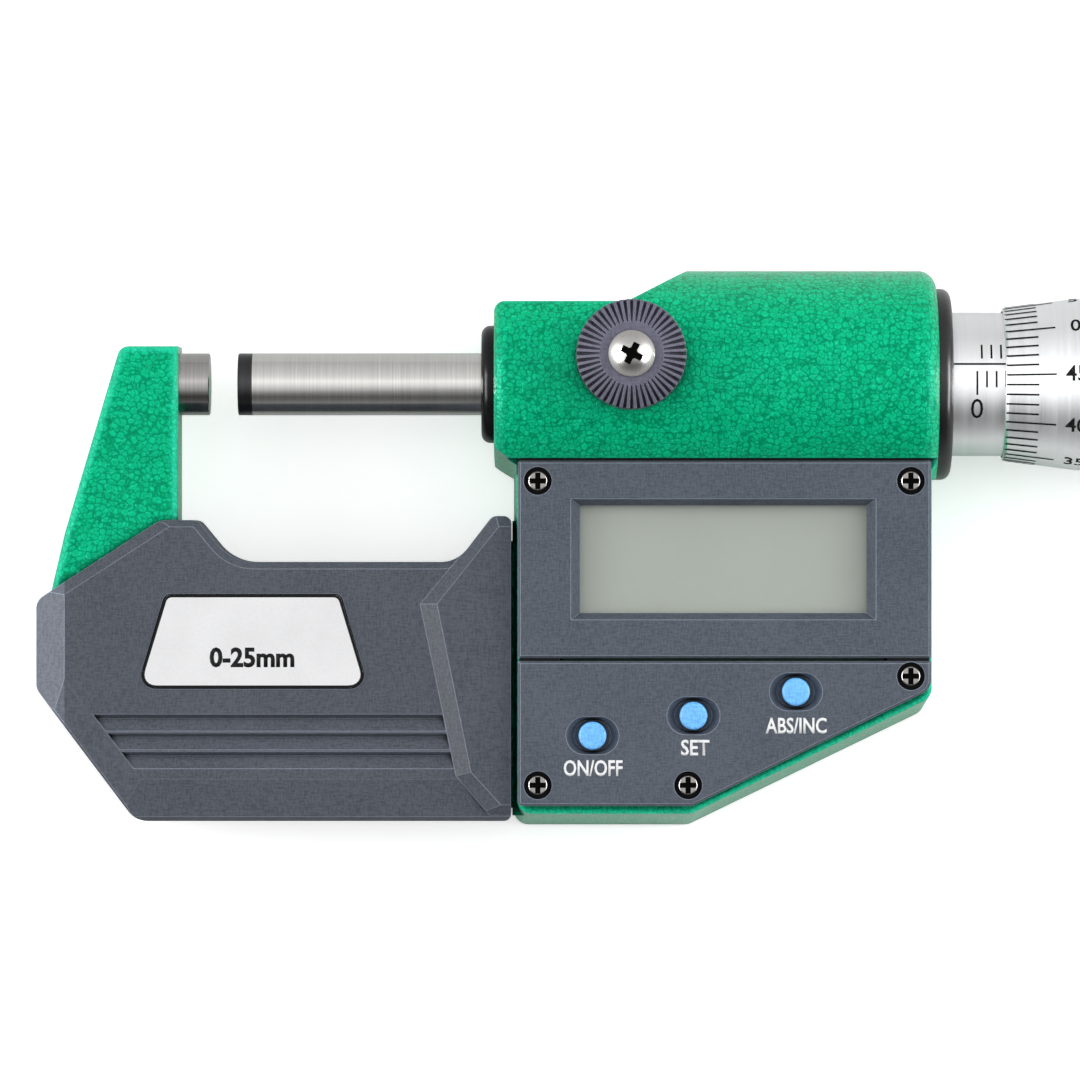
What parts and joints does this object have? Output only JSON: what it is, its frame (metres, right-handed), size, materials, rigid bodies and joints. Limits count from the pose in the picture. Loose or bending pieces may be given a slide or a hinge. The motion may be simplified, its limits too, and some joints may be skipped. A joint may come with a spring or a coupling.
{
  "type": "digital outside micrometer",
  "caption": "Outside micrometer with digital display: a screw-fed spindle closes on a fixed anvil across a C-shaped frame; ratchet thimble, spindle lock, hand guards and push buttons.",
  "frame": {"origin": "centre of the anvil's measuring face", "axes": "+X along the spindle from the anvil to the thimble, +Y from the hand guards to the spindle, +Z out of the display; the instrument lies on its back"},
  "size_m": [0.1588, 0.0583, 0.0282],
  "materials": {
    "enamel_green": "hammered enamel, glossy",
    "carbide": "lapped carbide",
    "guard_plastic": "fine moulded grain",
    "screw_steel": "bright plated",
    "plate_metal": "satin with a printed border",
    "black_rubber": "smooth",
    "ground_steel": "ground round",
    "satin_chrome": "satin",
    "black_collar": "glossy",
    "brass": "turned",
    "knob_plastic": "fine grain",
    "panel_plastic": "satin",
    "display_glass": "clear",
    "display_grey": "reflective liquid crystal backing",
    "button_blue": "satin",
    "switch_black": "moulded",
    "board_green": "solder mask",
    "cell_steel": "bright"
  },
  "bodies": {
    "frame": {"frame": "enamel_green", "anvil": "ground_steel", "front_guard": "guard_plastic", "rear_guard": "guard_plastic", "guard_screws": "screw_steel", "label_plate": "plate_metal", "spindle_seal": "black_rubber", "sleeve": "satin_chrome", "sleeve_collar": "black_collar", "spindle_nut": "brass", "adjusting_nut": "brass", "display_bezel": "panel_plastic", "display_window": "display_glass", "display_module": "display_grey", "keypad_panel": "panel_plastic", "key_switches": "switch_black", "panel_screws": "screw_steel", "screw_washers": "black_rubber", "panel_gasket": "black_rubber", "circuit_board": "board_green", "encoder_stator": "board_green", "rotor_holder": "brass", "battery": "cell_steel", "battery_contact": "brass"},
    "rotor": {"encoder_rotor": "board_green", "rotor_clip": "ground_steel"},
    "spindle": {"spindle": "ground_steel", "spindle_tip": "carbide", "thimble": "satin_chrome", "ratchet_crown": "ground_steel", "ratchet_screw": "ground_steel", "ratchet_spring": "ground_steel"},
    "ratchet_knob": {"ratchet_knob": "satin_chrome"},
    "lock": {"lock_shaft": "ground_steel", "lock_knob": "knob_plastic", "lock_knob_screw": "screw_steel"},
    "on_off_button": {"button_on_off": "button_blue"},
    "set_button": {"button_set": "button_blue"},
    "abs_button": {"button_abs": "button_blue"},
    "battery_cap": {"battery_cap": "black_collar", "cap_ring": "black_rubber"}
  },
  "joints": [
    {"name": "thimble_turn", "type": "hinge", "parent": "frame", "child": "rotor", "pos_m": [0.053, 0, 0], "axis": [1, 0, 0], "range_deg": [-2133.5, 15867]},
    {"name": "spindle_feed", "type": "slide", "parent": "rotor", "child": "spindle", "axis": [1, 0, 0], "range_m": [-0.00296, 0.02204]},
    {"name": "ratchet_turn", "type": "hinge", "parent": "spindle", "child": "ratchet_knob", "pos_m": [0.134, 0, 0], "axis": [1, 0, 0], "continuous": true},
    {"name": "lock_turn", "type": "hinge", "parent": "frame", "child": "lock", "pos_m": [0.04394, 0.00284, 0.012], "axis": [0, 0, -1], "range_deg": [0, 34]},
    {"name": "on_off_press", "type": "slide", "parent": "frame", "child": "on_off_button", "axis": [0, 0, -1], "range_m": [0, 0.0005], "stiffness_N_per_m": 1500},
    {"name": "set_press", "type": "slide", "parent": "frame", "child": "set_button", "axis": [0, 0, -1], "range_m": [0, 0.0005], "stiffness_N_per_m": 1500},
    {"name": "abs_press", "type": "slide", "parent": "frame", "child": "abs_button", "axis": [0, 0, -1], "range_m": [0, 0.0005], "stiffness_N_per_m": 1500},
    {"name": "battery_cap_turn", "type": "hinge", "parent": "frame", "child": "battery_cap", "pos_m": [0.0605, -0.022, -0.009], "axis": [0, 0, -1], "range_deg": [0, 90]}
  ],
  "couplings": [
    {"joint": "thimble_turn", "follows": "spindle_feed", "rad_per_m": 12566}
  ]
}
